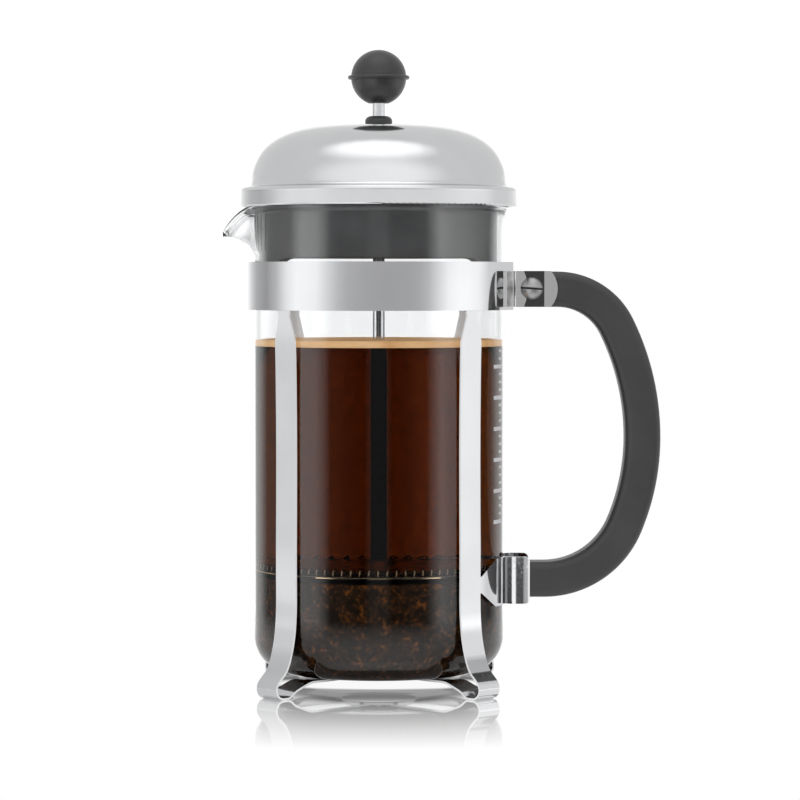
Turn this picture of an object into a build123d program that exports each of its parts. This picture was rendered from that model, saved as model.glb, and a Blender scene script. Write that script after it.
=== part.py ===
from build123d import *
from math import acos, atan2, cos, degrees, hypot, radians, sin, sqrt, tan
import os

os.makedirs("parts", exist_ok=True)

# French press. Millimetres; the Z axis is the beaker's axis and Z = 0 is the table.
# +X points to the handle, -X to the spout, -Y to the front.

# beaker
GLASS_R = 48.6
GLASS_INNER_R = 46.6
GLASS_BOTTOM_Z = 6.4
GLASS_FLOOR_Z = 9.0
GLASS_CORNER_R = 14.0
FLARE_START_Z = 176.0
BEAD_R = 49.05
BEAD_Z = 187.4
BEAD_SIZE = 1.35
SPOUT_WALL = 1.8
CUT_TOP_Z = 196.0

# frame sheet, band and legs
SHEET_T = 0.8
BAND_R = 51.0
BAND_Z0 = 147.8
BAND_Z1 = 166.4
NOSE_X = 52.3
NOSE_HALF_W = 8.0
LEG_ANGLES = {"front_left": 225, "front_right": 315, "back_left": 135, "back_right": 45}
LEG_W = 10.8
NECK_W = 5.6
NECK_Z0 = 136.0
NECK_Z1 = 145.6
NECK_FILLET_R = 1.6
FOOT_R = 56.0
FOOT_FLAT = 2.0
FOOT_BEND_R = 3.6
ARM_Z = 5.65
HUB_HOLE_R = 5.6
HUB_R = 15.0
HUB_T = 1.0

# handle and its brackets
HANDLE_H = 13.8
HANDLE_W = 15.0
HANDLE_CORNER_R = 2.8
HANDLE_TOP_Z = 155.8
HANDLE_LOW_Z = 42.7
HANDLE_TOP_X0 = 53.6
HANDLE_LOW_X0 = 51.6
GRIP_X = 102.9
GRIP_Z = 98.0
GRIP_TOP_X = 69.5
GRIP_TOP_R = 26.0
GRIP_LOW_X = 64.6
GRIP_LOW_R = 34.0
EAR_Z0 = 149.0
EAR_Z1 = 162.9
EAR_END_X = 69.5
EAR_ARC_R = 10.5
EAR_BEND_R = 1.2
WING_L = 8.6
STRAP_R = 49.6
STRAP_H = 6.4
STRAP_Z0 = 33.6
STRAP_Z1 = 51.9
STRAP_END_X = 58.8
PLATE_BULGE = 2.2
FLARE_X0 = 39.6
FLARE_X1 = 45.2
FLARE_CORNER_R = 1.8

# clamp screw and nut
SCREW_X = 59.4
SCREW_Z = 156.1
SCREW_R = 2.0
SCREW_HEAD_R = 4.3
SCREW_HEAD_H = 2.3
SCREW_IN_NUT = 1.4
SLOT_W = 0.9
SLOT_DEPTH = 1.0
SLOT_TILT = 4.0
PAD_T = 0.4
PAD_X0 = 56.4
PAD_X1 = 64.3
PAD_NOTCH = 0.9
PAD_NOTCH_MARGIN = 2.6

# lid
DOME_TOP_Z = 219.6
DOME_T = 0.7
LID_BASE_R = 49.5
LID_RIM_R = 53.8
LID_RIM_Z0 = 187.9
LID_RIM_Z1 = 195.4
FLANGE_Z0 = 189.1
FLANGE_T = 1.6
FLANGE_R = 52.85
CRIMP_R = 0.6
SEAT_R = 47.4
SKIRT_TOP_Z = 194.2
SKIRT_R = 46.2
SKIRT_T = 1.6
SKIRT_DEEP_Z = 158.0
SKIRT_NOTCH_Z = 167.9
NOTCH_HALF_W = 34.0
TONGUE_HALF_W = 43.6
SLIT_W = 1.3
SLIT_STEP = 4.6
SLIT_COUNT = 9
SLIT_MARGIN_LOW = 2.5
SLIT_MARGIN_HIGH = 3.5

# guide and plunger; hole rings are (ring radius, number of holes)
ROD_R = 2.4
RUNNING_GAP = 0.07
BUSH_R = 3.6
BUSH_Z0 = 216.4
BUSH_FLANGE_R = 6.5
BUSH_FLANGE_T = 1.8
CAP_R = 5.3
CAP_Z0 = 219.9
CAP_Z1 = 223.2
CAP_SEAT_H = 1.6
KNOB_R = 10.75
KNOB_Z = 238.2
KNOB_BASE_Z = 228.2
KNOB_RING_R = 12.0
KNOB_RING_T = 1.5
COIL_Z = 48.4
COIL_R = 44.7
COIL_WIRE_R = 1.5
COLLAR_R = 5.2
COLLAR_H = 2.6
PLATE_R = 43.2
PLATE_T = 0.8
PLATE_HOLE_R = 2.6
PLATE_HOLE_RINGS = ((15, 8), (26, 14), (37, 20))
PLATE_BOSS_R = 8.0
MESH_Z = 46.6
MESH_T = 0.3
MESH_R = 46.0
CROSS_R = 41.0
CROSS_WINDOW_R = 9.0
CROSS_WINDOW_RING_R = 24.0
CROSS_WINDOWS = 6
NUT_Z0 = 42.3
NUT_CORNER_R = 5.5
ROD_Z0 = 41.3
ROD_Z1 = 234.0


def save(piece, label):
    piece.part.label = label
    export_step(piece.part, f"parts/{label}.step")


def radial_plane(angle):
    """Upright plane through the axis: its x runs outwards at this angle, its y is up."""
    a = radians(angle)
    return Plane(origin=(0, 0, 0), x_dir=(cos(a), sin(a), 0), z_dir=(sin(a), -cos(a), 0))


def facing_plane(angle):
    """Upright plane through the axis that faces outwards at this angle."""
    a = radians(angle)
    return Plane(origin=(0, 0, 0), x_dir=(-sin(a), cos(a), 0), z_dir=(cos(a), sin(a), 0))


# ---- frame band: a ring with a small flat nose under the handle's ears ----
nose_reach = hypot(NOSE_X, NOSE_HALF_W)
nose_angle = degrees(atan2(NOSE_HALF_W, NOSE_X)) + degrees(acos(BAND_R / nose_reach))

with BuildPart() as frame_band:
    with BuildSketch(Plane.XY.offset(BAND_Z0)):
        with BuildLine():
            ring = CenterArc((0, 0), BAND_R, nose_angle, 360 - 2 * nose_angle)
            Polyline(ring @ 1, (NOSE_X, -NOSE_HALF_W), (NOSE_X, NOSE_HALF_W), ring @ 0)
        make_face()
        offset(amount=-SHEET_T, kind=Kind.INTERSECTION, mode=Mode.SUBTRACT)
    extrude(amount=BAND_Z1 - BAND_Z0)
save(frame_band, "frame_band")


# ---- legs: bent strips from the band down to curled feet and in under the glass ----
def build_leg(angle):
    with BuildPart() as leg:
        with BuildSketch(radial_plane(angle)):
            with BuildLine():
                shank = Spline(
                    (50.6, BAND_Z0),
                    (49.55, 122),
                    (49.35, 80),
                    (49.5, 45),
                    (50.5, 23),
                    (52.4, 15.3),
                    (55.6, 9.4),
                    (FOOT_R + FOOT_BEND_R, FOOT_BEND_R + SHEET_T / 2),
                    tangents=[(-0.09, -1), (0, -1)],
                )
                toe = TangentArc(shank @ 1, (FOOT_R, SHEET_T / 2), tangent=(0, -1))
                sole = Line(toe @ 1, (FOOT_R - FOOT_FLAT, SHEET_T / 2))
                rise = Spline(
                    sole @ 1,
                    (50.4, 2.2),
                    (46, 4.1),
                    (39.5, ARM_Z),
                    tangents=[(-1, 0), (-1, 0)],
                )
                Line(rise @ 1, (HUB_HOLE_R, ARM_Z))
            trace(line_width=SHEET_T)
        extrude(amount=LEG_W / 2, both=True)
        with BuildSketch(facing_plane(angle).offset(GLASS_R - 4)):
            with BuildLine():
                Polyline((LEG_W / 2, NECK_Z0), (NECK_W / 2, NECK_Z1))
                throat = Line((NECK_W / 2, NECK_Z1), (NECK_W / 2 + 0.1, NECK_Z1 + 0.7))
                fan = RadiusArc(throat @ 1, (NECK_W / 2 + NECK_FILLET_R, BAND_Z0), NECK_FILLET_R)
                Polyline(
                    fan @ 1,
                    (LEG_W, BAND_Z0),
                    (LEG_W, NECK_Z0),
                    (LEG_W / 2, NECK_Z0),
                )
            make_face()
            mirror(about=Plane.YZ)
            with Locations((0, BAND_Z0)):
                Rectangle(LEG_W, 2, align=(Align.CENTER, Align.MIN))
        extrude(amount=12, mode=Mode.SUBTRACT)
    return leg


for place, angle in LEG_ANGLES.items():
    save(build_leg(angle), f"frame_leg_{place}")

# ---- hub: disc that joins the four arms from below ----
with BuildPart() as base_hub:
    with BuildSketch(Plane.XY.offset(ARM_Z - SHEET_T / 2)):
        Circle(HUB_R)
    extrude(amount=-HUB_T)
    fillet(base_hub.faces().sort_by(Axis.Z)[0].edges(), 0.4)
save(base_hub, "base_hub")


# ---- upper brackets: a wing on the band's nose flat and an ear beside the handle ----
def build_upper_bracket(side):
    wing_tilt = radians(nose_angle)
    ear_y = HANDLE_W / 2 + SHEET_T / 2
    lift = SHEET_T / 2
    overhang = ear_y - NOSE_HALF_W - lift * sin(wing_tilt)
    bend_x = NOSE_X + lift * cos(wing_tilt) - overhang * tan(wing_tilt)
    tip = (bend_x - WING_L * sin(wing_tilt), ear_y + WING_L * cos(wing_tilt))
    with BuildPart() as bracket:
        with BuildSketch(Plane.XY.offset(EAR_Z0)):
            with BuildLine() as plan:
                Polyline(tip, (bend_x, ear_y), (EAR_END_X, ear_y))
                fillet(plan.vertices().sort_by(Axis.X)[1], EAR_BEND_R)
            trace(line_width=SHEET_T)
            if side < 0:
                mirror(about=Plane.XZ, mode=Mode.REPLACE)
        extrude(amount=EAR_Z1 - EAR_Z0)
        with BuildSketch(Plane.XZ.offset(-30)):
            with Locations((EAR_END_X - EAR_ARC_R, (EAR_Z0 + EAR_Z1) / 2)):
                Circle(EAR_ARC_R)
                Rectangle(40, 30, align=(Align.MAX, Align.CENTER))
        extrude(amount=60, mode=Mode.INTERSECT)
        with Locations(Plane.XZ):
            with Locations((SCREW_X, SCREW_Z)):
                Cylinder(SCREW_R, 60, mode=Mode.SUBTRACT)
    return bracket


save(build_upper_bracket(-1), "upper_bracket_front")
save(build_upper_bracket(1), "upper_bracket_rear")


# ---- lower brackets: a strap from a leg that folds into an arched plate beside the handle ----
def build_lower_bracket(side):
    plate_y = HANDLE_W / 2 + SHEET_T / 2
    fold_x = sqrt(STRAP_R**2 - plate_y**2)
    fold_angle = degrees(atan2(plate_y, fold_x))
    leg_edge = 45 - degrees(LEG_W / 2 / STRAP_R)
    middle_z = (STRAP_Z0 + STRAP_Z1) / 2
    with BuildPart() as bracket:
        with BuildSketch(Plane.XY.offset(STRAP_Z0)):
            with BuildLine():
                CenterArc((0, 0), STRAP_R, fold_angle, leg_edge - 0.1 - fold_angle)
                ThreePointArc(
                    (fold_x, plate_y),
                    ((fold_x + STRAP_END_X) / 2, plate_y + PLATE_BULGE),
                    (STRAP_END_X, plate_y),
                )
            trace(line_width=SHEET_T)
            with Locations((fold_x, plate_y)):
                Circle(SHEET_T / 2)
            if side < 0:
                mirror(about=Plane.XZ, mode=Mode.REPLACE)
        extrude(amount=STRAP_Z1 - STRAP_Z0)
        with BuildSketch(Plane.XZ.offset(-60)):
            with BuildLine():
                Polyline(
                    (30, middle_z + STRAP_H / 2),
                    (FLARE_X0, middle_z + STRAP_H / 2),
                    (FLARE_X1, STRAP_Z1),
                    (STRAP_END_X, STRAP_Z1),
                    (STRAP_END_X, STRAP_Z0),
                    (FLARE_X1, STRAP_Z0),
                    (FLARE_X0, middle_z - STRAP_H / 2),
                    (30, middle_z - STRAP_H / 2),
                    close=True,
                )
            outline = make_face()
            fillet(outline.vertices().group_by(Axis.X)[-1], FLARE_CORNER_R)
        extrude(amount=120, mode=Mode.INTERSECT)
    return bracket


save(build_lower_bracket(-1), "lower_bracket_front")
save(build_lower_bracket(1), "lower_bracket_rear")


# ---- handle: a D swept with a rounded-rectangle section ----
def grip_arcs(run, rise, tight_r):
    """Radius of the wide arc, and turn of the tight one, of two tangent arcs that span run and rise."""
    wide_r = (run**2 + rise**2 - 2 * tight_r * rise) / (2 * (run - tight_r))
    tight_turn = 90 - degrees(atan2(rise - tight_r, wide_r - run))
    return wide_r, tight_turn


top_wide_r, top_turn = grip_arcs(GRIP_X - GRIP_TOP_X, HANDLE_TOP_Z - GRIP_Z, GRIP_TOP_R)
low_wide_r, low_turn = grip_arcs(GRIP_X - GRIP_LOW_X, GRIP_Z - HANDLE_LOW_Z, GRIP_LOW_R)

with BuildPart() as handle:
    with BuildLine(Plane.XZ) as grip:
        upper = Line((HANDLE_TOP_X0, HANDLE_TOP_Z), (GRIP_TOP_X, HANDLE_TOP_Z))
        shoulder = JernArc(upper @ 1, (1, 0), GRIP_TOP_R, -top_turn)
        bow = JernArc(shoulder @ 1, shoulder % 1, top_wide_r, top_turn - 90)
        belly = JernArc(bow @ 1, bow % 1, low_wide_r, low_turn - 90)
        heel = JernArc(belly @ 1, belly % 1, GRIP_LOW_R, -low_turn)
        Line(heel @ 1, (HANDLE_LOW_X0, HANDLE_LOW_Z))
    with BuildSketch(Plane(origin=(HANDLE_TOP_X0, 0, HANDLE_TOP_Z), x_dir=(0, 1, 0), z_dir=(1, 0, 0))):
        RectangleRounded(HANDLE_W, HANDLE_H, HANDLE_CORNER_R)
    sweep(path=grip.wire())
    with Locations(Plane.XZ):
        with Locations((SCREW_X, SCREW_Z)):
            Cylinder(SCREW_R, 60, mode=Mode.SUBTRACT)
save(handle, "handle")


# ---- black pads on the ears, under the screw head and the nut ----
def build_pad(side):
    face_y = HANDLE_W / 2 + SHEET_T
    with BuildPart() as pad:
        with BuildSketch(Plane.XZ.offset(-side * face_y)):
            with BuildLine():
                Polyline(
                    (PAD_X0, EAR_Z1),
                    (PAD_X1, EAR_Z1),
                    (PAD_X1, EAR_Z0),
                    (PAD_X0, EAR_Z0),
                    (PAD_X0 + PAD_NOTCH, EAR_Z0 + PAD_NOTCH_MARGIN),
                    (PAD_X0 + PAD_NOTCH, EAR_Z1 - PAD_NOTCH_MARGIN),
                    close=True,
                )
            make_face()
            with Locations((SCREW_X, SCREW_Z)):
                Circle(SCREW_R, mode=Mode.SUBTRACT)
        extrude(amount=-side * PAD_T)
    return pad


save(build_pad(-1), "ear_pad_front")
save(build_pad(1), "ear_pad_rear")

# ---- clamp screw and nut: domed heads on either side of the ears ----
head_y = HANDLE_W / 2 + SHEET_T + PAD_T
dome_bulge = (SCREW_HEAD_R**2 + SCREW_HEAD_H**2) / (2 * SCREW_HEAD_H)

with BuildPart() as clamp_screw:
    with BuildSketch(Plane.XY.offset(SCREW_Z)):
        with BuildLine():
            Polyline(
                (SCREW_X, -head_y - SCREW_HEAD_H),
                (SCREW_X, head_y + SCREW_IN_NUT),
                (SCREW_X + SCREW_R, head_y + SCREW_IN_NUT),
                (SCREW_X + SCREW_R, -head_y),
                (SCREW_X + SCREW_HEAD_R, -head_y),
            )
            RadiusArc(
                (SCREW_X + SCREW_HEAD_R, -head_y),
                (SCREW_X, -head_y - SCREW_HEAD_H),
                dome_bulge,
            )
        make_face()
    revolve(axis=Axis((SCREW_X, 0, SCREW_Z), (0, 1, 0)))
    with Locations(Location((SCREW_X, -head_y - SCREW_HEAD_H, SCREW_Z), (0, SLOT_TILT, 0))):
        Box(12, 2 * SLOT_DEPTH, SLOT_W, mode=Mode.SUBTRACT)
save(clamp_screw, "clamp_screw")

with BuildPart() as clamp_nut:
    with BuildSketch(Plane.XY.offset(SCREW_Z)):
        with BuildLine():
            Polyline(
                (SCREW_X, head_y + SCREW_HEAD_H),
                (SCREW_X, head_y + SCREW_IN_NUT),
                (SCREW_X + SCREW_R, head_y + SCREW_IN_NUT),
                (SCREW_X + SCREW_R, head_y),
                (SCREW_X + SCREW_HEAD_R, head_y),
            )
            RadiusArc(
                (SCREW_X + SCREW_HEAD_R, head_y),
                (SCREW_X, head_y + SCREW_HEAD_H),
                -dome_bulge,
            )
        make_face()
    revolve(axis=Axis((SCREW_X, 0, SCREW_Z), (0, 1, 0)))
save(clamp_nut, "clamp_nut")

# ---- beaker: revolved glass with a beaded rim and a lofted pouring spout ----
# each spout station: distance from the axis, half width, lowest point of the outer wall
SPOUT_STATIONS = [(40, 19, 162), (46, 15.6, 167), (50.5, 11.6, 172), (55, 7.8, 175.6), (61.2, 3.6, 177)]


def spout_sketch(reach, half_w, low_z, wall):
    w = half_w - wall
    z = low_z + wall
    rise = CUT_TOP_Z - z
    with BuildSketch(Plane.YZ.offset(-reach)) as station:
        with BuildLine():
            Spline(
                (-w, CUT_TOP_Z),
                (-0.86 * w, z + 0.4 * rise),
                (0, z),
                (0.86 * w, z + 0.4 * rise),
                (w, CUT_TOP_Z),
            )
            Line((w, CUT_TOP_Z), (-w, CUT_TOP_Z))
        make_face()
    return station.sketch


outer_spout = [spout_sketch(*station, 0) for station in SPOUT_STATIONS]
inner_spout = [spout_sketch(*station, SPOUT_WALL) for station in SPOUT_STATIONS]

with BuildPart() as beaker:
    with BuildSketch(Plane.XZ):
        with BuildLine():
            base = Line((0, GLASS_BOTTOM_Z), (GLASS_R - GLASS_CORNER_R, GLASS_BOTTOM_Z))
            corner = TangentArc(base @ 1, (GLASS_R, GLASS_BOTTOM_Z + GLASS_CORNER_R), tangent=(1, 0))
            wall = Line(corner @ 1, (GLASS_R, FLARE_START_Z))
            flare = Spline(wall @ 1, (BEAD_R + 0.9, BEAD_Z - 1.6), tangents=[(0, 1), (0.1, 1)])
            bead = ThreePointArc(flare @ 1, (BEAD_R + BEAD_SIZE, BEAD_Z), (BEAD_R, BEAD_Z + BEAD_SIZE))
            Polyline(bead @ 1, (0, BEAD_Z + BEAD_SIZE), base @ 0)
        make_face()
    revolve(axis=Axis.Z)
    loft(outer_spout)
    with BuildSketch(Plane.XZ):
        inner_corner = GLASS_CORNER_R - 2
        with BuildLine():
            base = Line((0, GLASS_FLOOR_Z), (GLASS_INNER_R - inner_corner, GLASS_FLOOR_Z))
            corner = TangentArc(base @ 1, (GLASS_INNER_R, GLASS_FLOOR_Z + inner_corner), tangent=(1, 0))
            wall = Line(corner @ 1, (GLASS_INNER_R, FLARE_START_Z + 1))
            flare = Spline(wall @ 1, (BEAD_R - 1.3, BEAD_Z - 0.3), tangents=[(0, 1), (0.1, 1)])
            bead = ThreePointArc(flare @ 1, (BEAD_R - 0.85, BEAD_Z + 1.05), (BEAD_R, BEAD_Z + BEAD_SIZE))
            Polyline(bead @ 1, (BEAD_R, CUT_TOP_Z + 1), (0, CUT_TOP_Z + 1), base @ 0)
        make_face()
    revolve(axis=Axis.Z, mode=Mode.SUBTRACT)
    loft(inner_spout, mode=Mode.SUBTRACT)
    with BuildSketch(Plane.XZ.offset(-40)):
        with BuildLine():
            rim = Spline((-46.4, 189.0), (-51.9, 185.6), (-57, 181.4), (-61.1, 177.9), (-64, 176))
            Polyline(rim @ 1, (-64, CUT_TOP_Z + 1), (-44, CUT_TOP_Z + 1), (-44, 189.4), rim @ 0)
        make_face()
    extrude(amount=80, mode=Mode.SUBTRACT)
save(beaker, "beaker")

# ---- lid dome: thin polished shell with a crimped rim ----
with BuildPart() as lid_dome:
    with BuildSketch(Plane.XZ):
        with BuildLine():
            crown = Spline(
                (BUSH_R + RUNNING_GAP, DOME_TOP_Z - DOME_T / 2),
                (24, 218.6),
                (34.6, 216.3),
                (42.2, 212.1),
                (46.1, 207.7),
                (48.3, 203),
                (LID_BASE_R - 0.35, 197.6),
                tangents=[(1, 0), (0.04, -1)],
            )
            ledge = Spline(
                crown @ 1,
                (LID_BASE_R + 1.8, LID_RIM_Z1 - DOME_T / 2),
                tangents=[(0.04, -1), (1, -0.05)],
            )
            shoulder = Line(ledge @ 1, (LID_RIM_R - 1.6, LID_RIM_Z1 - DOME_T / 2 - 0.1))
            drop = TangentArc(shoulder @ 1, (LID_RIM_R - 0.45, LID_RIM_Z1 - 1.9), tangent=(1, 0))
            Line(drop @ 1, (LID_RIM_R - DOME_T / 2, LID_RIM_Z0 + CRIMP_R))
        trace(line_width=DOME_T)
        with Locations((LID_RIM_R - CRIMP_R, LID_RIM_Z0 + CRIMP_R)):
            Circle(CRIMP_R)
    revolve(axis=Axis.Z)
save(lid_dome, "lid_dome")

# ---- strainer: skirt in the glass mouth, with front and back notches and pouring slits ----
with BuildPart() as lid_strainer:
    with BuildSketch(Plane.XZ):
        with BuildLine():
            Polyline(
                (SKIRT_R - SKIRT_T, SKIRT_DEEP_Z),
                (SKIRT_R, SKIRT_DEEP_Z),
                (SKIRT_R, FLANGE_Z0),
                (FLANGE_R, FLANGE_Z0),
                (FLANGE_R, FLANGE_Z0 + FLANGE_T),
                (SEAT_R, FLANGE_Z0 + FLANGE_T),
                (SEAT_R, SKIRT_TOP_Z),
                (SKIRT_R - SKIRT_T, SKIRT_TOP_Z),
                close=True,
            )
        make_face()
    revolve(axis=Axis.Z)
    with BuildSketch(Plane.XZ.offset(-60)):
        with BuildLine():
            side_curve = Spline(
                (NOTCH_HALF_W, SKIRT_NOTCH_Z),
                ((NOTCH_HALF_W + TONGUE_HALF_W) / 2 + 0.5, (SKIRT_NOTCH_Z + SKIRT_DEEP_Z) / 2),
                (TONGUE_HALF_W, SKIRT_DEEP_Z - 0.5),
                tangents=[(1, 0), (1, -0.2)],
            )
            Polyline(side_curve @ 1, (TONGUE_HALF_W, 150), (0, 150), (0, SKIRT_NOTCH_Z), side_curve @ 0)
        make_face()
        mirror(about=Plane.YZ)
    extrude(amount=120, mode=Mode.SUBTRACT)
    slit_low = SKIRT_NOTCH_Z + SLIT_MARGIN_LOW
    slit_high = FLANGE_Z0 - SLIT_MARGIN_HIGH
    with BuildSketch(Plane.YZ.offset(-40)):
        with Locations((0, (slit_low + slit_high) / 2)):
            with GridLocations(SLIT_STEP, 1, SLIT_COUNT, 1):
                SlotOverall(slit_high - slit_low, SLIT_W, rotation=90)
    extrude(amount=-10, mode=Mode.SUBTRACT)
save(lid_strainer, "lid_strainer")

# ---- guide bush and cap: the rod slides through them and the dome turns on the bush ----
with BuildPart() as guide_bush:
    with BuildSketch(Plane.XY.offset(BUSH_Z0)):
        Circle(BUSH_FLANGE_R)
    extrude(amount=BUSH_FLANGE_T)
    with BuildSketch(Plane.XY.offset(BUSH_Z0)):
        Circle(BUSH_R)
    extrude(amount=CAP_Z0 + CAP_SEAT_H - BUSH_Z0)
    with BuildSketch(Plane.XY.offset(BUSH_Z0)):
        Circle(ROD_R + RUNNING_GAP)
    extrude(amount=CAP_Z0 + CAP_SEAT_H - BUSH_Z0, mode=Mode.SUBTRACT)
save(guide_bush, "guide_bush")

with BuildPart() as guide_cap:
    with BuildSketch(Plane.XZ):
        with BuildLine():
            Polyline(
                (BUSH_R, CAP_Z0 + CAP_SEAT_H),
                (BUSH_R, CAP_Z0),
                (CAP_R - 0.3, CAP_Z0),
                (CAP_R, CAP_Z0 + 0.3),
                (CAP_R, CAP_Z0 + 1.5),
            )
            ThreePointArc(
                (CAP_R, CAP_Z0 + 1.5),
                (CAP_R - 0.65, CAP_Z1 - 0.6),
                (CAP_R - 2.0, CAP_Z1),
            )
            Polyline(
                (CAP_R - 2.0, CAP_Z1),
                (ROD_R + RUNNING_GAP, CAP_Z1),
                (ROD_R + RUNNING_GAP, CAP_Z0 + CAP_SEAT_H),
                (BUSH_R, CAP_Z0 + CAP_SEAT_H),
            )
        make_face()
    revolve(axis=Axis.Z)
save(guide_cap, "guide_cap")

# ---- plunger rod and knob ----
with BuildPart() as plunger_rod:
    with BuildSketch(Plane.XY.offset(ROD_Z0)):
        Circle(ROD_R)
    extrude(amount=ROD_Z1 - ROD_Z0)
    chamfer(plunger_rod.edges().sort_by(Axis.Z)[0], 0.5)
save(plunger_rod, "plunger_rod")

with BuildPart() as knob:
    with BuildSketch(Plane.XZ):
        with Locations((0, KNOB_Z)):
            Circle(KNOB_R)
            Rectangle(2 * KNOB_RING_R, KNOB_RING_T)
        with Locations((0, KNOB_BASE_Z)):
            Rectangle(60, 20, align=(Align.CENTER, Align.MAX), mode=Mode.SUBTRACT)
        with Locations((0, KNOB_Z)):
            Rectangle(60, 60, align=(Align.MAX, Align.CENTER), mode=Mode.SUBTRACT)
    revolve(axis=Axis.Z)
    ring_edges = knob.edges().filter_by(GeomType.CIRCLE).filter_by(lambda e: e.radius > KNOB_RING_R - 0.1)
    fillet(ring_edges, 0.7)
    with BuildSketch(Plane.XY.offset(KNOB_BASE_Z)):
        Circle(ROD_R)
    extrude(amount=ROD_Z1 - KNOB_BASE_Z, mode=Mode.SUBTRACT)
save(knob, "knob")

# ---- filter stack at the rod's foot ----
with BuildPart() as rod_collar:
    with BuildSketch(Plane.XY.offset(COIL_Z + PLATE_T / 2)):
        Circle(COLLAR_R)
        Circle(ROD_R, mode=Mode.SUBTRACT)
    extrude(amount=COLLAR_H)
    chamfer(rod_collar.faces().sort_by(Axis.Z)[-1].outer_wire().edges(), 0.6)
save(rod_collar, "rod_collar")

with BuildPart() as spiral_plate:
    plate_z = COIL_Z - PLATE_T / 2
    with BuildSketch(Plane.XY.offset(plate_z)):
        Circle(PLATE_R)
        for ring_r, holes in PLATE_HOLE_RINGS:
            with PolarLocations(ring_r, holes):
                Circle(PLATE_HOLE_R, mode=Mode.SUBTRACT)
    extrude(amount=PLATE_T)
    with BuildSketch(Plane.XY.offset(MESH_Z + MESH_T)):
        Circle(PLATE_BOSS_R)
    extrude(amount=plate_z - MESH_Z - MESH_T)
    with BuildSketch(Plane.XY.offset(MESH_Z)):
        Circle(ROD_R)
    extrude(amount=COIL_Z + PLATE_T - MESH_Z, mode=Mode.SUBTRACT)
save(spiral_plate, "spiral_plate")

with BuildPart() as edge_coil:
    with BuildSketch(Plane.XZ):
        with Locations((COIL_R, COIL_Z)):
            Circle(COIL_WIRE_R)
    revolve(axis=Axis.Z)
save(edge_coil, "edge_coil")

with BuildPart() as filter_mesh:
    with BuildSketch(Plane.XY.offset(MESH_Z)):
        Circle(MESH_R)
        Circle(ROD_R, mode=Mode.SUBTRACT)
    extrude(amount=MESH_T)
save(filter_mesh, "filter_mesh")

with BuildPart() as cross_plate:
    with BuildSketch(Plane.XY.offset(MESH_Z)):
        Circle(CROSS_R)
        Circle(ROD_R, mode=Mode.SUBTRACT)
        with PolarLocations(CROSS_WINDOW_RING_R, CROSS_WINDOWS):
            Circle(CROSS_WINDOW_R, mode=Mode.SUBTRACT)
    extrude(amount=-PLATE_T)
save(cross_plate, "cross_plate")

with BuildPart() as hub_nut:
    with BuildSketch(Plane.XY.offset(NUT_Z0)):
        RegularPolygon(NUT_CORNER_R, 6)
        Circle(ROD_R, mode=Mode.SUBTRACT)
    extrude(amount=MESH_Z - PLATE_T - NUT_Z0)
save(hub_nut, "hub_nut")
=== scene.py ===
import math

import bpy
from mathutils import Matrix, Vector


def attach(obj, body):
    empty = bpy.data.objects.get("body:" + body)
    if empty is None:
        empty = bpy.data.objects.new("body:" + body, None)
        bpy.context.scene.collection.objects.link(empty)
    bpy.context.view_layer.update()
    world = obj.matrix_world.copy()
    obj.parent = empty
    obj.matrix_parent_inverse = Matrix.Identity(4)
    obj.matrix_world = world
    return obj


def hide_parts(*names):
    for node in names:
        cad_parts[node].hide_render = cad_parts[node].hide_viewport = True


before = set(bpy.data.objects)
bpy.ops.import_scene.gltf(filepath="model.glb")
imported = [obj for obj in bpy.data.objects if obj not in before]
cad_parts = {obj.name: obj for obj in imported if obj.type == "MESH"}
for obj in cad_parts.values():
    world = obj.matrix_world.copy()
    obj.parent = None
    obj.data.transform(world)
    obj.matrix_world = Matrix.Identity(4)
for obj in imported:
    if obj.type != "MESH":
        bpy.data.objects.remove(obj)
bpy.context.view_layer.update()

# Sizes are in millimetres and turned into metres by MM where Blender needs them.
MM = 0.001

# ---- glass beaker
GLASS_R = 48.6
GLASS_INNER_R = 46.6
GLASS_BOTTOM_Z = 6.4
GLASS_FLOOR_Z = 9.0
GLASS_CORNER_R = 14.0
GLASS_INNER_CORNER_R = 12.0
CORNER_X = GLASS_R - GLASS_CORNER_R
OUTER_CORNER_Z = GLASS_BOTTOM_Z + GLASS_CORNER_R
INNER_CORNER_Z = GLASS_FLOOR_Z + GLASS_INNER_CORNER_R
FLARE_Z = 176.0
FLARE_HEIGHT = 11.5
FLARE_OUT = 1.6
BEAD_R, BEAD_Z = 49.05, 187.4
BEAD_SIZE = 1.35
SPOUT_Z, BEAD_LOW_Z = 168.0, 185.8
SPOUT_OUT, SPOUT_DROP = 11.1, 9.6
SPOUT_WIDTH = math.radians(11.5)
SPOUT_PINCH = 0.22
SPOUT_THINNING = 0.4

# ---- drink and grounds
DRINK_Z = 134.3
WET_Z = 134.9
DRINK_R = GLASS_INNER_R + 0.12
FOAM_R = GLASS_INNER_R + 0.16
FOAM_LOW_Z, FOAM_TOP_Z = 133.7, 136.3
GROUNDS_Z = 44.2

# ---- spring coil round the filter
COIL_R, COIL_Z = 44.7, 48.4
COIL_TURN_R = 1.22
COIL_WIRE_R = 0.28
COIL_TURNS = 84
COIL_LEAN = 0.85

# ---- clamp screw
SCREW_X, SCREW_Z = 59.4, 156.1
SLOT_TILT = math.radians(4.0)

# ---- camera
CAMERA_X, CAMERA_DISTANCE, CAMERA_Z = 8.3, 1330.0, 160.2
AIM_Z = 112.5
LENS = 153.2

WHITE = (1.0, 1.0, 1.0, 1.0)


def grey(level):
    return (level, level, level, 1)


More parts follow.
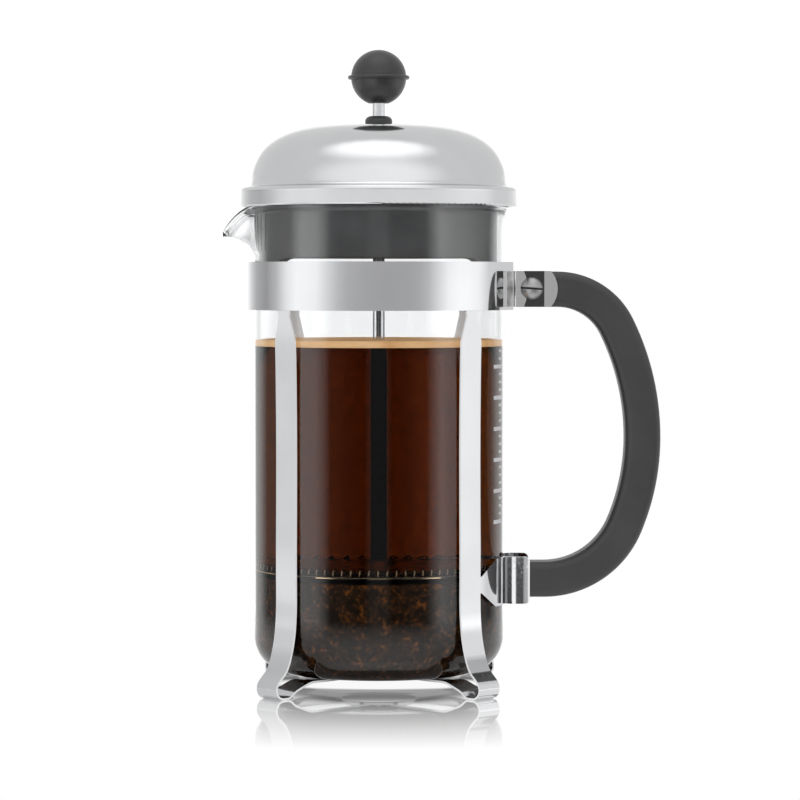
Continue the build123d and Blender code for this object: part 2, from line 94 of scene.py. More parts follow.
# ---------------------------------------------------------------- shader graphs
class Graph:
    """Short calls for making and joining the nodes of one shader."""

    def __init__(self, tree):
        self.tree = tree
        tree.nodes.clear()

    def feed(self, socket, value):
        """Joins an output to a socket, or sets the socket to a plain value."""
        if isinstance(value, bpy.types.NodeSocket):
            self.tree.links.new(value, socket)
        else:
            socket.default_value = value

    def node(self, kind, **values):
        """Makes a node. A name with a leading _ is a property, and any other is an input."""
        made = self.tree.nodes.new("ShaderNode" + kind)
        for name, value in values.items():
            if name.startswith("_"):
                setattr(made, name[1:], value)
            else:
                self.feed(made.inputs[name.replace("_", " ")], value)
        return made

    def shader(self, kind, **values):
        return self.node(kind, **values).outputs[0]

    def place(self):
        return self.node("TexCoord").outputs["Object"]

    def axes(self, vector):
        """X, Y and Z of a vector."""
        return self.node("SeparateXYZ", Vector=vector).outputs

    def noise(self, vector, scale, detail=3.0, rough=0.5):
        made = self.node("TexNoise", Vector=vector, Scale=scale, Detail=detail, Roughness=rough)
        return made.outputs["Fac"]

    def maths(self, operation, *values):
        made = self.node("Math", _operation=operation)
        for socket, value in zip(made.inputs, values):
            self.feed(socket, value)
        return made.outputs[0]

    def vector_maths(self, operation, *vectors):
        made = self.node("VectorMath", _operation=operation)
        for socket, vector in zip(made.inputs, vectors):
            self.feed(socket, vector)
        measures = operation in ("LENGTH", "DOT_PRODUCT")
        return made.outputs["Value" if measures else "Vector"]

    def span(self, value, low, high, bottom=0.0, top=1.0, smooth=False):
        """Maps low..high to bottom..top and holds the ends."""
        made = self.node("MapRange", _interpolation_type="SMOOTHSTEP" if smooth else "LINEAR")
        for socket, number in zip(made.inputs, (value, low, high, bottom, top)):
            self.feed(socket, number)
        return made.outputs[0]

    def ramp(self, amount, stops):
        """Colour over 0..1 from stops of (place, colour)."""
        made = self.node("ValToRGB", Fac=amount)
        elements = made.color_ramp.elements
        for element, (position, colour) in zip((elements[0], elements[1]), (stops[0], stops[-1])):
            element.position = position
            element.color = colour
        for position, colour in stops[1:-1]:
            elements.new(position).color = colour
        return made.outputs["Color"]

    def mottle(self, noise, low, high):
        """Two colours mixed by a noise."""
        return self.ramp(noise, [(0.3, low), (0.7, high)])

    def blend(self, amount, a, b, mode="MIX"):
        made = self.node("Mix", _data_type="RGBA", _blend_type=mode)
        for index, value in ((0, amount), (6, a), (7, b)):
            self.feed(made.inputs[index], value)
        return made.outputs[2]

    def mix(self, amount, a, b):
        """One shader where the amount is 0, the other where it is 1."""
        made = self.node("MixShader")
        for socket, value in zip(made.inputs, (amount, a, b)):
            self.feed(socket, value)
        return made.outputs[0]

    def bump(self, height, distance, strength=1.0):
        made = self.node("Bump", Height=height, Distance=distance, Strength=strength)
        return made.outputs["Normal"]


class Material(Graph):
    """A named material's graph."""

    def __init__(self, name):
        self.material = bpy.data.materials.new(name)
        self.material.use_nodes = True
        super().__init__(self.material.node_tree)

    def finish(self, surface, volume=None):
        out = self.node("OutputMaterial", Surface=surface)
        if volume is not None:
            self.feed(out.inputs["Volume"], volume)
        return self.material


# ---------------------------------------------------------------- plain metals and plastics
FINE_GRAIN = 900.0
BROAD_GRAIN = 35.0


def metal(name, tint, rough, grain=0.6, depth=0.000004):
    """Metal with a fine grain in its gloss and a broad, faint mottle in its colour."""
    m = Material(name)
    fine = m.noise(m.place(), FINE_GRAIN, 4)
    broad = m.noise(m.place(), BROAD_GRAIN)
    dark = tuple(c * 0.93 for c in tint[:3]) + (1,)
    return m.finish(m.shader(
        "BsdfPrincipled", Metallic=1.0, IOR=1.5,
        Base_Color=m.mottle(broad, dark, tint),
        Roughness=m.span(fine, 0, 1, rough * (1 - grain), rough * (1 + grain)),
        Normal=m.bump(fine, depth)))


def plastic(name, tone, rough, grain_scale, depth, warm=0.0):
    """Moulded plastic with a fine grain and cloudy gloss."""
    m = Material(name)
    grain = m.noise(m.place(), grain_scale, 2)
    cloud = m.noise(m.place(), 60, 4)
    low = (tone * 0.86, tone * 0.86, tone * 0.88, 1)
    high = (tone * 1.12 + warm, tone * 1.12, tone * 1.14, 1)
    return m.finish(m.shader(
        "BsdfPrincipled", IOR=1.5,
        Base_Color=m.mottle(cloud, low, high),
        Roughness=m.span(cloud, 0, 1, rough * 0.85, rough * 1.15),
        Normal=m.bump(grain, depth)))


# ---------------------------------------------------------------- worn and two-part metals
def leg_material():
    """Mirror strip with painted light and shade: painted shade dims its inner face in the curls, painted
    bands of light and shade run up its lower part by height, and its cut edges and its inner face above the
    drink are pale and glow as painted light.
    """
    curl_shade, glow = 0.16, 0.36
    m = Material("leg_strip")
    place = m.place()
    x, _, z = m.axes(place)
    broad = m.noise(place, BROAD_GRAIN)
    fine = m.noise(place, FINE_GRAIN, 4)
    normal = m.node("NewGeometry").outputs["Normal"]

    from_axis = m.vector_maths("MULTIPLY", place, (1.0, 1.0, 0.0))
    outward = m.vector_maths("DOT_PRODUCT", from_axis, normal)
    inside = m.span(outward, -0.030, -0.020, 1.0, 0.0)
    round_axis = m.vector_maths("CROSS_PRODUCT", place, (0.0, 0.0, 1.0))
    sideways = m.maths("ABSOLUTE", m.vector_maths("DOT_PRODUCT", round_axis, normal))
    on_cut_edge = m.span(sideways, 0.030, 0.038)

    # Painted shade: below about 16 mm the inner face of each curl is dimmed to curl_shade.
    above_curl = m.span(z, 0.016, 0.022, curl_shade, 1.0)
    shade = m.maths("MAXIMUM", above_curl, m.span(inside, 0, 1, 1.0, curl_shade))
    # Painted light and shade: lighter and darker bands by height on the lower 40 mm, different on the spout
    # side and the handle side, multiply the mirror's colour.
    height = m.span(z, 0.0, 0.040)
    plain = grey(0.667)
    spout_side_painted_shading = m.ramp(height, [
        (0.0, plain), (0.18, plain), (0.26, grey(0.62)), (0.40, grey(0.66)),
        (0.5, grey(0.78)), (0.62, grey(0.78)), (0.8, plain), (1.0, plain)])
    handle_side_painted_shading = m.ramp(height, [
        (0.0, grey(0.86)), (0.14, grey(0.86)), (0.2, grey(0.56)), (0.36, grey(0.52)),
        (0.42, grey(0.93)), (0.64, grey(0.93)), (0.82, plain), (1.0, plain)])
    finish = m.blend(m.span(x, -0.001, 0.001), spout_side_painted_shading, handle_side_painted_shading)
    steel = m.mottle(broad, (0.90, 0.91, 0.925, 1), (0.975, 0.985, 1.0, 1))
    mirror = m.shader(
        "BsdfPrincipled", Metallic=1.0,
        Base_Color=m.blend(1.0, steel, m.blend(1.0, finish, shade, "MULTIPLY"), "MULTIPLY"),
        Roughness=m.span(broad, 0, 1, 0.07, 0.11),
        Normal=m.bump(fine, 0.0000004))

    # Painted light: the inner face above the drink and the cut edges are pale, non-metal and glow with
    # strength glow.
    light = m.mottle(broad, (0.84, 0.85, 0.87, 1), (0.92, 0.93, 0.95, 1))
    pale = m.shader(
        "BsdfPrincipled", Metallic=0.0, Roughness=0.4,
        Base_Color=light, Emission_Color=light, Emission_Strength=glow)
    cut = m.shader(
        "BsdfPrincipled", Metallic=0.0, Roughness=0.3,
        Base_Color=m.mottle(broad, grey(0.50), grey(0.55)), Emission_Color=light, Emission_Strength=glow)
    above_drink = m.span(z, 0.126, 0.132)
    faces = m.mix(m.maths("MULTIPLY", inside, above_drink), mirror, pale)
    return m.finish(m.mix(on_cut_edge, faces, cut))


def bracket_material():
    """Polished ear, a dark line of painted shade along the bend, and a satin wing where it lies against the
    band.
    """
    wing, ear = grey(0.92), grey(0.72)
    painted_crease_shade = grey(0.2)
    m = Material("bracket_chrome")
    x = m.axes(m.place())[0]
    fine = m.noise(m.place(), FINE_GRAIN, 4)
    # Painted shade: a dark line along the bend between the wing and the ear.
    tone = m.ramp(m.span(x, 0.0515, 0.0535), [
        (0.0, wing), (0.42, wing), (0.5, painted_crease_shade), (0.62, painted_crease_shade), (0.7, ear), (1.0, ear)])
    return m.finish(m.shader(
        "BsdfPrincipled", Metallic=1.0,
        Base_Color=m.blend(1.0, tone, m.mottle(fine, grey(0.95), grey(1.0)), "MULTIPLY"),
        Roughness=m.span(x, 0.0518, 0.0526, 0.3, 0.06),
        Normal=m.bump(fine, 0.000001)))


def screw_material():
    """Satin screw head with painted shade along the groove across it and a painted highlight along the
    groove's lower edge.
    """
    head, painted_slot_shade = grey(0.4), grey(0.05)
    m = Material("screw_steel")
    fine = m.noise(m.place(), FINE_GRAIN, 4)
    centred = m.node("Mapping", Vector=m.place(), Location=(-SCREW_X * MM, 0.0, -SCREW_Z * MM)).outputs[0]
    level = m.node("Mapping", Vector=centred, Rotation=(0.0, -SLOT_TILT, 0.0)).outputs[0]
    across = m.span(m.axes(level)[2], -0.0009, 0.0009)
    # Painted shade fills the groove across the head and darkens its upper edge, and a painted highlight runs
    # along its lower edge.
    return m.finish(m.shader(
        "BsdfPrincipled", Metallic=1.0,
        Base_Color=m.ramp(across, [
            (0.0, head), (0.2, grey(0.42)), (0.24, grey(0.62)), (0.3, painted_slot_shade),
            (0.68, painted_slot_shade), (0.76, grey(0.3)), (0.8, head), (1.0, head)]),
        Roughness=m.span(fine, 0, 1, 0.3, 0.5),
        Normal=m.bump(fine, 0.000003)))


def rod_material():
    """Bright rod, painted near-black as shade where it stands in the drink."""
    m = Material("rod_steel")
    fine = m.noise(m.place(), 700)
    z = m.axes(m.node("NewGeometry").outputs["Position"])[2]
    dry = m.shader(
        "BsdfPrincipled", Metallic=1.0,
        Base_Color=m.mottle(fine, (0.66, 0.665, 0.68, 1), (0.72, 0.725, 0.74, 1)),
        Roughness=m.span(fine, 0, 1, 0.05, 0.09))
    # Painted shade: below the drink's level the rod is a near-black non-metal.
    painted_shade_in_drink = m.shader(
        "BsdfPrincipled", Roughness=0.5, IOR=1.1,
        Base_Color=m.mottle(fine, (0.012, 0.010, 0.008, 1), (0.02, 0.017, 0.014, 1)))
    return m.finish(m.mix(m.span(z, 0.1338, 0.1342), painted_shade_in_drink, dry))


def stained_steel(name, edge_r, edge_tone):
    """Filter steel: stained dark by the drink, wiped bright where its edge rubs the glass."""
    m = Material(name)
    fine = m.noise(m.place(), FINE_GRAIN)
    x, y, _ = m.axes(m.place())
    square = m.maths("ADD", m.maths("POWER", x, 2.0), m.maths("POWER", y, 2.0))
    at_edge = m.span(square, (edge_r - 0.0002) ** 2, (edge_r + 0.0001) ** 2)
    stain = m.shader(
        "BsdfPrincipled", Metallic=0.3, Roughness=0.45,
        Base_Color=m.mottle(fine, (0.018, 0.009, 0.004, 1), (0.04, 0.02, 0.01, 1)),
        Normal=m.bump(fine, 0.00002))
    low = tuple(c * edge_tone for c in (0.66, 0.50, 0.33)) + (1,)
    high = tuple(c * edge_tone for c in (0.80, 0.64, 0.45)) + (1,)
    edge = m.shader("BsdfPrincipled", Metallic=0.2, Roughness=0.5, Base_Color=m.mottle(fine, low, high))
    return m.finish(m.mix(at_edge, stain, edge))


def worn_plate_material():
    """Polished plate, stained brown towards its rim."""
    m = Material("worn_plate")
    fine = m.noise(m.place(), FINE_GRAIN, 4)
    radius = m.vector_maths("LENGTH", m.vector_maths("MULTIPLY", m.place(), (1.0, 1.0, 0.0)))
    rim = m.span(radius, 0.0405, 0.0425)
    return m.finish(m.shader(
        "BsdfPrincipled", Metallic=1.0,
        Base_Color=m.ramp(rim, [(0.0, (0.80, 0.79, 0.78, 1)), (1.0, (0.05, 0.03, 0.016, 1))]),
        Roughness=m.span(rim, 0, 1, 0.05, 0.5),
        Normal=m.bump(fine, 0.000001)))


# ---------------------------------------------------------------- glass and drink
def glass_material(name, kind):
    """Clear glass that also lets plain light through to what is inside."""
    m = Material(name)
    smear = m.noise(m.place(), 45, 4)
    tint = m.mottle(smear, (0.934, 0.939, 0.941, 1), (0.948, 0.951, 0.953, 1))
    glass = m.shader(kind, IOR=1.5, Roughness=0.0, Color=tint)
    clear = m.shader("BsdfTransparent", Color=(0.94, 0.95, 0.945, 1))
    return m.finish(m.mix(m.node("LightPath").outputs["Is Shadow Ray"], glass, clear))


def coffee_material():
    """Clear brown drink that darkens with depth."""
    m = Material("coffee")
    swirl = m.noise(m.place(), 25)
    tint = m.ramp(swirl, [(0.2, (0.97, 0.93, 0.9, 1)), (0.8, (1, 0.98, 0.95, 1))])
    surface = m.shader("BsdfRefraction", IOR=1.33, Roughness=0.0, Color=tint)
    body = m.shader("VolumeAbsorption", Density=98.0, Color=(0.63, 0.43, 0.12, 1))
    return m.finish(surface, body)


def foam_material():
    """Crema that also glows a little, to stay bright behind the glass."""
    m = Material("foam")
    bubbles = m.node("TexVoronoi", Vector=m.place(), Scale=900.0).outputs["Distance"]
    cloud = m.noise(m.place(), 90, 4)
    cream = m.ramp(cloud, [
        (0.25, (0.74, 0.40, 0.17, 1)), (0.5, (0.90, 0.55, 0.27, 1)), (0.8, (0.97, 0.68, 0.40, 1))])
    return m.finish(m.shader(
        "BsdfPrincipled", Roughness=0.7, IOR=1.35, Specular_IOR_Level=0.1,
        Base_Color=cream, Emission_Color=cream, Emission_Strength=0.345,
        Normal=m.bump(bubbles, 0.0003, 0.7)))


def grounds_material():
    """Wet grounds with rusty flecks, thicker towards the top of the bed."""
    m = Material("grounds")
    cells = m.node("TexVoronoi", Vector=m.place(), Scale=900.0).outputs["Distance"]
    flecks = m.maths("MULTIPLY", m.noise(m.place(), 640, 3, 0.6), m.noise(m.place(), 240, 3, 0.5))
    crust = m.span(m.axes(m.place())[2], 0.0420, 0.0450, 0.0, 0.07)
    colour = m.ramp(m.maths("ADD", flecks, crust), [
        (0.19, (0.016, 0.008, 0.004, 1)), (0.28, (0.042, 0.019, 0.008, 1)),
        (0.335, (0.085, 0.030, 0.007, 1)), (0.40, (0.20, 0.07, 0.014, 1))])
    return m.finish(m.shader(
        "BsdfPrincipled", Roughness=0.8, IOR=1.35, Specular_IOR_Level=0.1,
        Base_Color=colour, Normal=m.bump(cells, 0.0004, 0.6)))


# ---------------------------------------------------------------- finishes of the CAD nodes
chrome = metal("chrome", (0.72, 0.725, 0.74, 1), 0.06, 0.2, 0.0000004)
satin = metal("satin_steel", (0.72, 0.725, 0.735, 1), 0.13, 0.2, 0.0000012)
filter_steel = metal("filter_steel", (0.66, 0.65, 0.63, 1), 0.25)
plate_steel = metal("plate_steel", (0.80, 0.79, 0.78, 1), 0.05, 0.3, 0.000001)
coil_steel = stained_steel("coil_steel", 0.0457, 0.8)
mesh_steel = stained_steel("mesh_steel", 0.0459, 0.28)
leg_strip = leg_material()
bracket_chrome = bracket_material()
screw_steel = screw_material()
knob_black = plastic("knob_plastic", 0.038, 0.33, 2200, 0.000015)
pad_black = plastic("pad_plastic", 0.02, 0.4, 2600, 0.00002, warm=0.003)
glass = glass_material("glass", "BsdfGlass")
wet_glass = glass_material("glass_wet", "BsdfRefraction")

FINISH = {
    "upper_bracket_front": bracket_chrome,
    "upper_bracket_rear": bracket_chrome,
    "clamp_screw": screw_steel,
    "clamp_nut": screw_steel,
    "handle": plastic("black_plastic", 0.039, 0.42, 2600, 0.00001),
    "ear_pad_front": pad_black,
    "ear_pad_rear": pad_black,
    "beaker": glass,
    "lid_dome": satin,
    "lid_strainer": plastic("grey_plastic", 0.12, 0.30, 2000, 0.000001),
    "guide_cap": knob_black,
    "knob": knob_black,
    "guide_bush": filter_steel,
    "plunger_rod": rod_material(),
    "rod_collar": plate_steel,
    "spiral_plate": worn_plate_material(),
    "edge_coil": coil_steel,
    "filter_mesh": mesh_steel,
    "cross_plate": plate_steel,
    "hub_nut": plate_steel,
}
for place in ("front_left", "front_right", "back_left", "back_right"):
    FINISH["frame_leg_" + place] = leg_strip


def paint(obj, material):
    obj.data.materials.clear()
    obj.data.materials.append(material)


for name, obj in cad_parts.items():
    paint(obj, FINISH.get(name, chrome))


# ---------------------------------------------------------------- mesh helpers
def make_mesh(name, verts, faces, material, smooth=True):
    mesh = bpy.data.meshes.new(name)
    mesh.from_pydata([tuple(c * MM for c in v) for v in verts], [], faces)
    mesh.update()
    obj = bpy.data.objects.new(name, mesh)
    bpy.context.scene.collection.objects.link(obj)
    for polygon in mesh.polygons:
        polygon.use_smooth = smooth
    mesh.materials.append(material)
    return obj


def lathe(name, profile, material, steps, warp=None):
    """Turns an outline of (r, z) points, with both ends on the axis, round Z."""
    verts, faces = [], []
    inner = profile[1:-1]
    count = len(inner)
    for i in range(steps):
        angle = 2 * math.pi * i / steps
        for r, z in inner:
            verts.append(warp(angle, r, z) if warp else (r * math.cos(angle), r * math.sin(angle), z))
    first, last = len(verts), len(verts) + 1
    for i in range(steps):
        here, there = i * count, (i + 1) % steps * count
        for k in range(count - 1):
            faces.append((here + k, there + k, there + k + 1, here + k + 1))
    verts += [(0, 0, profile[0][1]), (0, 0, profile[-1][1])]
    for i in range(steps):
        here, there = i * count, (i + 1) % steps * count
        faces.append((first, there, here))
        faces.append((last, here + count - 1, there + count - 1))
    return make_mesh(name, verts, faces, material)


def arc(x, z, radius, start, end, steps):
    """Points round a centre, with angles in degrees."""
    angles = [math.radians(start + (end - start) * i / steps) for i in range(steps + 1)]
    return [(x + radius * math.cos(a), z + radius * math.sin(a)) for a in angles]


def upright(r, low, high, steps):
    """Evenly spaced points of a straight wall, without its lowest one."""
    return [(r, low + (high - low) * i / steps) for i in range(1, steps + 1)]


# ---------------------------------------------------------------- glass beaker
def flare(z):
    """How far the wall leans out under the rim."""
    t = max(0.0, (z - FLARE_Z) / FLARE_HEIGHT)
    return FLARE_OUT * t * t


def beaker_profile():
    """Outside from the base up, over the bead, and down the inside to the floor."""
    neck_step = 1.5
    base_rings = (0, 8, 18, 27)
    outer_neck = [SPOUT_Z + neck_step * i for i in range(12)] + [BEAD_LOW_Z]
    inner_neck = [185.3] + [184.0 - neck_step * i for i in range(11)]
    points = [(r, GLASS_BOTTOM_Z) for r in base_rings]
    points += arc(CORNER_X, OUTER_CORNER_Z, GLASS_CORNER_R, -90, 0, 14)
    points += [(GLASS_R, z) for z in (30, 50, 70, 90, 110, 130, 150, 160)]
    points += [(GLASS_R + flare(z), z) for z in outer_neck]
    points += arc(BEAD_R, BEAD_Z, BEAD_SIZE, -20, 195, 12)
    points += [(GLASS_INNER_R + flare(z) * 0.9, z) for z in inner_neck]
    points += [(GLASS_INNER_R, z) for z in (160, 150, 135, 125, 110, 90, 70, 50, 30)]
    points += arc(CORNER_X, INNER_CORNER_Z, GLASS_INNER_CORNER_R, 0, -90, 14)
    points += [(27, 9.0), (18, 9.1), (8, 9.2), (0, 9.2)]
    return points


def spout_warp(angle, r, z):
    """Pulls the rim out and down into a spout round -X."""
    off = angle - math.pi
    t = max(0.0, min(1.0, (z - SPOUT_Z) / (BEAD_LOW_Z - SPOUT_Z)))
    near = math.exp(-(off / SPOUT_WIDTH) ** 2)
    pull = near * t ** 1.25
    if z > BEAD_LOW_Z - 1 and math.hypot(r - BEAD_R, z - BEAD_Z) < 1.5:
        size = 1 - SPOUT_THINNING * near
        r = BEAD_R + (r - BEAD_R) * size
        z = BEAD_Z + (z - BEAD_Z) * size
    turned = math.pi + off * (1 - SPOUT_PINCH * pull)
    reach = r + SPOUT_OUT * pull
    return reach * math.cos(turned), reach * math.sin(turned), z - SPOUT_DROP * near ** 1.7 * t * t


def wet_below(obj, material, level):
    """Gives the inner wall and floor under the drink their own material."""
    obj.data.materials.append(material)
    for face in obj.data.polygons:
        centre, normal = face.center, face.normal
        wall = centre.x * normal.x + centre.y * normal.y < -1e-6
        floor_face = normal.z > 0.5 and centre.z > 8 * MM
        within = math.hypot(centre.x, centre.y) < (GLASS_INNER_R + 0.2) * MM
        if (wall or floor_face) and centre.z < level and within:
            face.material_index = 1


beaker = lathe("beaker_glass", beaker_profile(), glass, 288, spout_warp)
wet_below(beaker, wet_glass, WET_Z * MM)
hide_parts("beaker")
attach(beaker, "beaker")


# ---------------------------------------------------------------- coffee, foam, grounds
def bowl(low_z, overlap):
    """Outline of a filling from the axis to the top of the glass floor's corner, a little into the glass."""
    corner = arc(CORNER_X, INNER_CORNER_Z, GLASS_INNER_CORNER_R + overlap, -90, 0, 14)
    return [(0, low_z), (20, low_z)] + corner


coffee_profile = bowl(8.9, 0.1) + upright(DRINK_R, INNER_CORNER_Z, DRINK_Z, 8)
coffee_profile += [(40, DRINK_Z), (0, DRINK_Z)]
foam_profile = [(r, FOAM_LOW_Z) for r in (0, 20, 40, 46.2)]
foam_profile += [(FOAM_R, 133.75), (FOAM_R, WET_Z), (FOAM_R, FOAM_TOP_Z)]
foam_profile += [(46.3, 136.35), (45.6, 136.2), (40, 136.1), (20, 136.1), (0, 136.1)]
grounds_profile = bowl(8.8, 0.16) + upright(FOAM_R, 21.2, GROUNDS_Z, 8)
grounds_profile += [(45, 44.0), (30, 43.6), (0, 41.4)]

fillings = (
    lathe("coffee", coffee_profile, coffee_material(), 192),
    lathe("foam", foam_profile, foam_material(), 160),
    lathe("grounds", grounds_profile, grounds_material(), 160),
)
for piece in fillings:
    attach(piece, "beaker")


# ---------------------------------------------------------------- plain measuring marks on the glass
def scale_marks():
    """A column of plain bars, every fourth one long."""
    low_z, spacing, count = 66.0, 3.0, 23
    inner_r, outer_r = GLASS_R + 0.01, GLASS_R + 0.05
    end, steps = -9, 8
    ink = plastic("scale_ink", 0.62, 0.5, 1500, 0.000002)
    verts, faces = [], []
    for k in range(count):
        z = low_z + spacing * k
        height, start = (1.0, -17) if k % 4 else (1.5, -24)
        first = len(verts)
        for i in range(steps + 1):
            angle = math.radians(start + (end - start) * i / steps)
            for r, dz in ((inner_r, -height), (outer_r, -height), (outer_r, height), (inner_r, height)):
                verts.append((r * math.cos(angle), r * math.sin(angle), z + dz / 2))
        for i in range(steps):
            here, there = first + 4 * i, first + 4 * i + 4
            for m in range(4):
                n = (m + 1) % 4
                faces.append((here + m, here + n, there + n, there + m))
        far = first + 4 * steps
        faces.append((first + 3, first + 2, first + 1, first))
        faces.append((far, far + 1, far + 2, far + 3))
    return make_mesh("scale_marks", verts, faces, ink, smooth=False)


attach(scale_marks(), "beaker")


# ---------------------------------------------------------------- spring coil round the filter
def spring_coil():
    """A closed ring of wire turns whose outer runs stand upright."""
    steps_per_turn, sides = 18, 8
    count = COIL_TURNS * steps_per_turn
    up = Vector((0, 0, 1))
    verts, faces = [], []
    for i in range(count):
        v = 2 * math.pi * i / steps_per_turn
        u = (v - COIL_LEAN * math.sin(v)) / COIL_TURNS
        radial = Vector((math.cos(u), math.sin(u), 0))
        onward = Vector((-math.sin(u), math.cos(u), 0))
        centre = radial * (COIL_R + COIL_TURN_R * math.cos(v)) + up * (COIL_Z + COIL_TURN_R * math.sin(v))
        out = radial * math.cos(v) + up * math.sin(v)
        along = (radial * -math.sin(v) + up * math.cos(v)) * COIL_TURN_R * COIL_TURNS
        along += onward * COIL_R * (1 - COIL_LEAN * math.cos(v))
        side = along.normalized().cross(out).normalized()
        for s in range(sides):
            b = 2 * math.pi * s / sides
            verts.append(tuple(centre + (out * math.cos(b) + side * math.sin(b)) * COIL_WIRE_R))
    for i in range(count):
        here, there = i * sides, (i + 1) % count * sides
        for s in range(sides):
            q = (s + 1) % sides
            faces.append((here + s, there + s, there + q, here + q))
    return make_mesh("spring_coil", verts, faces, coil_steel)


coil = spring_coil()
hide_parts("edge_coil")
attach(coil, "plunger")


# ---------------------------------------------------------------- stage
def floor_material():
    """White floor with a glossy film that fades out round the part, and painted shadow that dims the film
    close round the part.
    """
    shade, clear = 0.25, 1.0
    m = Material("floor")
    place = m.place()
    distance = m.vector_maths("LENGTH", place)
    aside = m.maths("ABSOLUTE", m.axes(place)[0])
    glow = m.shader("Emission", Strength=1.0, Color=m.mottle(m.noise(place, 3, 2), grey(0.995), grey(1.0)))
    # Painted shadow: the film's reflection is dimmed to shade within 42 mm of the axis, rising to full by 58
    # mm, over the middle strip 40 to 46 mm wide each side.
    away = m.span(distance, 0.042, 0.058, shade, clear)
    film_tone = m.maths("MAXIMUM", away, m.span(aside, 0.040, 0.046, shade, clear))
    film = m.shader("BsdfGlossy", Roughness=0.03, Color=film_tone)
    oval = m.node("Mapping", Vector=place, Location=(0.0, -0.011, 0.0), Scale=(0.45, 1.0, 1.0)).outputs[0]
    bare_patch = m.span(m.vector_maths("LENGTH", oval), 0.017, 0.022, 0.08, 1.0)
    wet_look = m.maths("MULTIPLY", m.span(distance, 0.040, 0.178, 0.88, 0.0), bare_patch)
    surface = m.mix(wet_look, glow, film)
    unseen = m.maths("SUBTRACT", 1.0, m.node("LightPath").outputs["Is Camera Ray"])
    beyond = m.maths("MULTIPLY", unseen, m.span(distance, 0.18, 0.34))
    return m.finish(m.mix(beyond, surface, m.shader("BsdfTransparent")))


bpy.ops.mesh.primitive_grid_add(x_subdivisions=8, y_subdivisions=8, size=60)
floor = bpy.context.object
floor.name = "studio_floor"
paint(floor, floor_material())

# Studio brightness all round, as (degrees from the front, + towards the handle; level).
# SOFT_RING lights the metal and plastic, LOW_RING what they mirror from below the horizon,
# and CRISP_RING what the clear glass mirrors and bends.
SOFT_RING = [
    (-180, 1.04), (-160, 1.0), (-135, 0.54), (-116, 0.41), (-101, 0.65), (-88, 1.1), (-77, 1.31),
    (-65, 1.29), (-56, 1.23), (-46, 0.95), (-36, 0.70), (-27, 0.57), (-10, 0.50), (10, 0.49),
    (27, 0.50), (36, 0.54), (44, 0.64), (54, 0.93), (64, 1.22), (75, 1.33), (86, 1.33), (99, 1.24),
    (114, 0.85), (135, 0.8), (160, 1.0), (180, 1.04)]
CRISP_RING = [
    (-180, 1.28), (-174, 1.26), (-171, 1.7), (-167, 2.1), (-163, 1.5), (-158, 1.0), (-140, 1.0),
    (-124, 0.22), (-90, 0.5), (-76, 2.0), (-60, 1.9), (-51, 0.9), (-45, 0.1), (-13, 0.0), (-7, 0.2),
    (7, 0.2), (13, 0.0), (45, 0.1), (52, 0.9), (60, 2.0), (72, 1.5), (92, 1.0), (106, 0.6),
    (124, 0.2), (140, 0.9), (158, 1.0), (163, 1.2), (167, 1.6), (171, 1.45), (174, 1.26), (180, 1.28)]
LOW_RING = [
    (-180, 1.0), (-112, 0.8), (-98, 1.25), (-90, 1.1), (-82, 0.55), (-62, 0.5), (-56, 1.1),
    (-14, 1.4), (-8, 0.9), (-4, 0.09), (38, 0.08), (44, 0.35), (52, 0.5), (72, 0.55), (80, 1.2),
    (98, 1.31), (114, 0.85), (180, 1.0)]


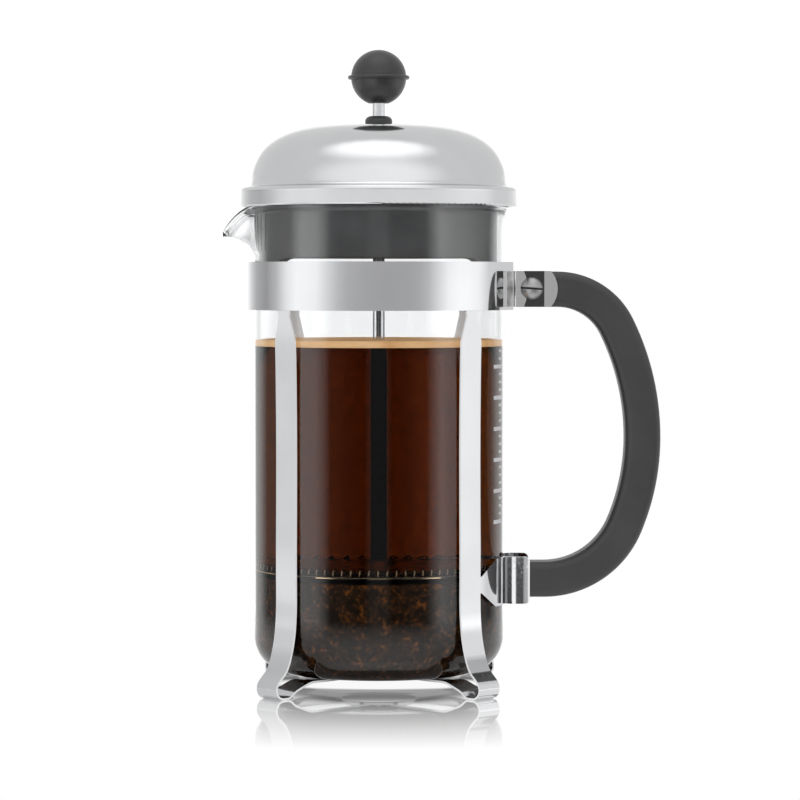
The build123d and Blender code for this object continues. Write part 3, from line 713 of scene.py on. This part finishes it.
def studio_world():
    """White studio: tall soft panels at the front sides, one overhead, a greyer front."""
    world = bpy.data.worlds.new("studio")
    bpy.context.scene.world = world
    world.use_nodes = True
    w = Graph(world.node_tree)
    aside, ahead, up = w.axes(w.node("TexCoord").outputs["Generated"])
    forward = w.maths("MULTIPLY", ahead, -1.0)
    azimuth = w.maths("DEGREES", w.maths("ARCTAN2", aside, forward))
    turn = w.maths("ADD", w.maths("DIVIDE", azimuth, 360.0), 0.5)
    lift = w.maths("DEGREES", w.maths("ARCSINE", up))
    path = w.node("LightPath").outputs

    def around(ring, top):
        stops = [((degrees + 180) / 360, grey(level / top)) for degrees, level in ring]
        return w.maths("MULTIPLY", w.ramp(turn, stops), top)

    def choose(amount, a, b):
        made = w.node("Mix")
        for index, value in ((0, amount), (2, a), (3, b)):
            w.feed(made.inputs[index], value)
        return made.outputs[0]

    def rise(value, low, high, bottom=0.0, top=1.0):
        return w.span(value, low, high, bottom, top, smooth=True)

    soft = choose(rise(lift, -4.7, -4.1), around(LOW_RING, 1.5), around(SOFT_RING, 1.5))
    level_band = choose(path["Is Singular Ray"], soft, around(CRISP_RING, 2.5))

    ceiling = w.maths("ADD", rise(forward, 0.3, 0.9, 0.76, 1.12), rise(forward, -0.98, -0.93, 0.26, 0.0))
    off_panel = w.maths("ADD", w.maths("MULTIPLY", w.maths("POWER", aside, 2.0), 0.55),
                        w.maths("POWER", w.maths("SUBTRACT", forward, 0.2), 2.0))
    panel = w.maths("MULTIPLY", rise(off_panel, 0.03, 0.25, 0.75, 0.0), rise(lift, 30, 50))
    overhead = w.maths("ADD", ceiling, panel)

    raised = rise(lift, 0.6, 5.2)
    brightness = w.maths("ADD", w.maths("MULTIPLY", level_band, w.maths("SUBTRACT", 1.0, raised)),
                         w.maths("MULTIPLY", overhead, raised))
    studio = w.shader("Background", Color=WHITE, Strength=brightness)
    backdrop = w.shader("Background", Color=WHITE, Strength=1.05)
    w.node("OutputWorld", Surface=w.mix(path["Is Camera Ray"], studio, backdrop))


studio_world()

# ---------------------------------------------------------------- camera
camera_data = bpy.data.cameras.new("camera")
camera_data.sensor_width = 36
camera_data.lens = LENS
camera_data.clip_end = 200
camera = bpy.data.objects.new("camera", camera_data)
bpy.context.scene.collection.objects.link(camera)
camera.location = (CAMERA_X * MM, -CAMERA_DISTANCE * MM, CAMERA_Z * MM)
aim = Vector((CAMERA_X * MM, 0, AIM_Z * MM)) - camera.location
camera.rotation_euler = aim.to_track_quat("-Z", "Y").to_euler()
bpy.context.scene.camera = camera
bpy.context.scene.view_settings.view_transform = "Standard"
